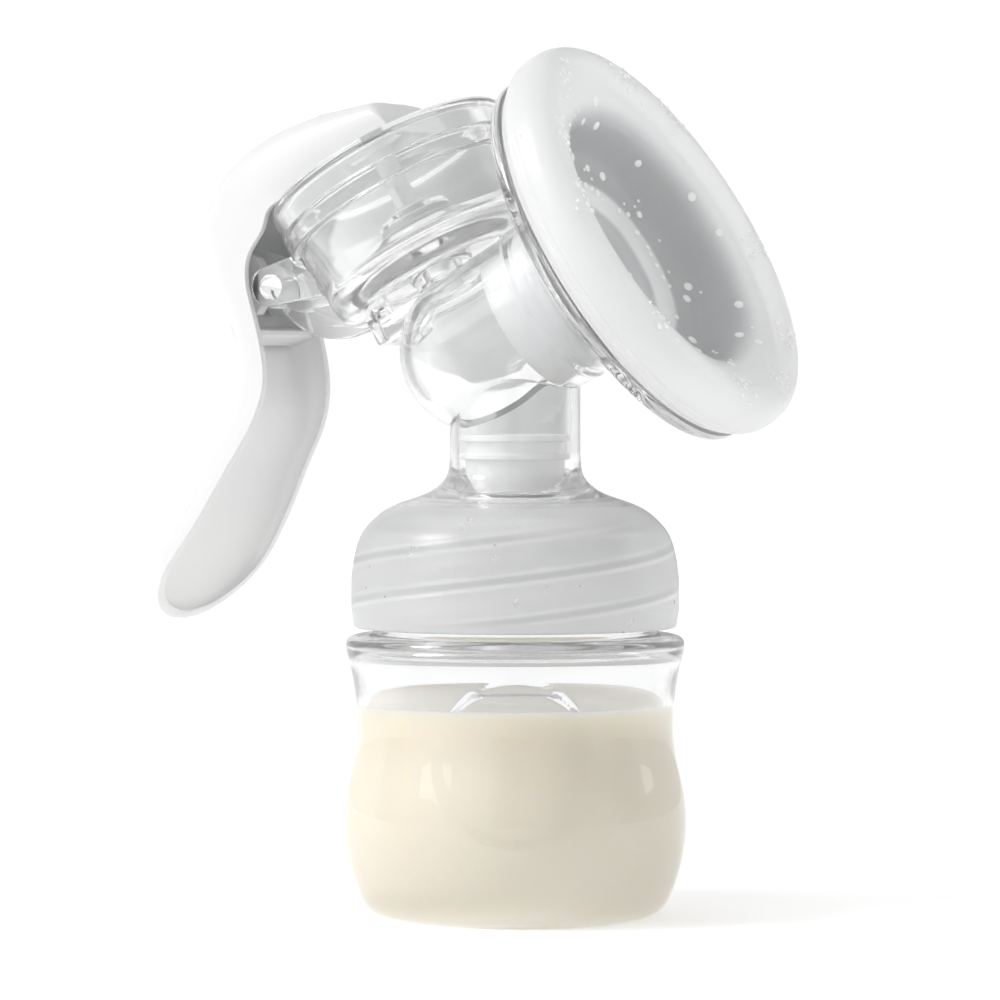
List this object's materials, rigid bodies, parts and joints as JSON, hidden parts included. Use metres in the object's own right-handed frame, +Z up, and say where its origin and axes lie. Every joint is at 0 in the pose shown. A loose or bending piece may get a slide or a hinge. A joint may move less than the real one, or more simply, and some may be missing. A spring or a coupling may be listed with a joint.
{
  "type": "manual breast pump",
  "caption": "Hand-operated breast pump on a milk bottle: squeezing the lever lifts a diaphragm that draws air through a cushioned funnel.",
  "frame": {"origin": "centre of the bottle's base, on the bottle axis", "axes": "+Z up along the bottle axis; +X towards the funnel; the pump's symmetry plane is y = 0"},
  "size_m": [0.1308, 0.0866, 0.1719],
  "materials": {
    "bottle_clear": "clear glossy plastic",
    "milk": "cream liquid",
    "body_clear": "clear glossy plastic, frosted on the collar",
    "cushion_silicone": "milky translucent silicone with small white dots",
    "valve_silicone": "white silicone",
    "diaphragm_silicone": "clear silicone",
    "stem_plastic": "white plastic",
    "handle_plastic": "satin white plastic"
  },
  "bodies": {
    "bottle": {"bottle": "bottle_clear"},
    "milk": {"milk": "milk"},
    "pump": {"pump_body": "body_clear", "diaphragm": "diaphragm_silicone"},
    "cushion": {"cushion": "cushion_silicone"},
    "valve": {"valve": "valve_silicone"},
    "stem": {"stem": "stem_plastic"},
    "handle": {"handle": "handle_plastic"}
  },
  "joints": [
    {"name": "pump_turn", "type": "hinge", "parent": "bottle", "child": "milk", "pos_m": [0, 0, 0.0423], "axis": [0, 0, 1], "range_deg": [0, 240]},
    {"name": "pump_lift", "type": "slide", "parent": "milk", "child": "pump", "axis": [0, 0, 1], "range_m": [0, 0.0162]},
    {"name": "handle_squeeze", "type": "hinge", "parent": "pump", "child": "handle", "pos_m": [-0.04997, 0, 0.12506], "axis": [0, -1, 0], "range_deg": [0, 15], "stiffness_Nm_per_rad": 0.6, "springref_deg": -5.73},
    {"name": "stem_lift", "type": "slide", "parent": "pump", "child": "stem", "axis": [-0.5, 0, 0.866], "range_m": [0, 0.009], "deforming": ["diaphragm"]},
    {"name": "valve_pull", "type": "slide", "parent": "pump", "child": "valve", "axis": [0, 0, -1], "range_m": [0, 0.018]},
    {"name": "cushion_pull", "type": "slide", "parent": "pump", "child": "cushion", "axis": [0.866, 0, 0.5], "range_m": [0, 0.04]}
  ],
  "couplings": [
    {"joint": "pump_lift", "follows": "pump_turn", "m_per_rad": 0.0038197},
    {"joint": "stem_lift", "follows": "handle_squeeze", "m_per_rad": 0.0336}
  ]
}
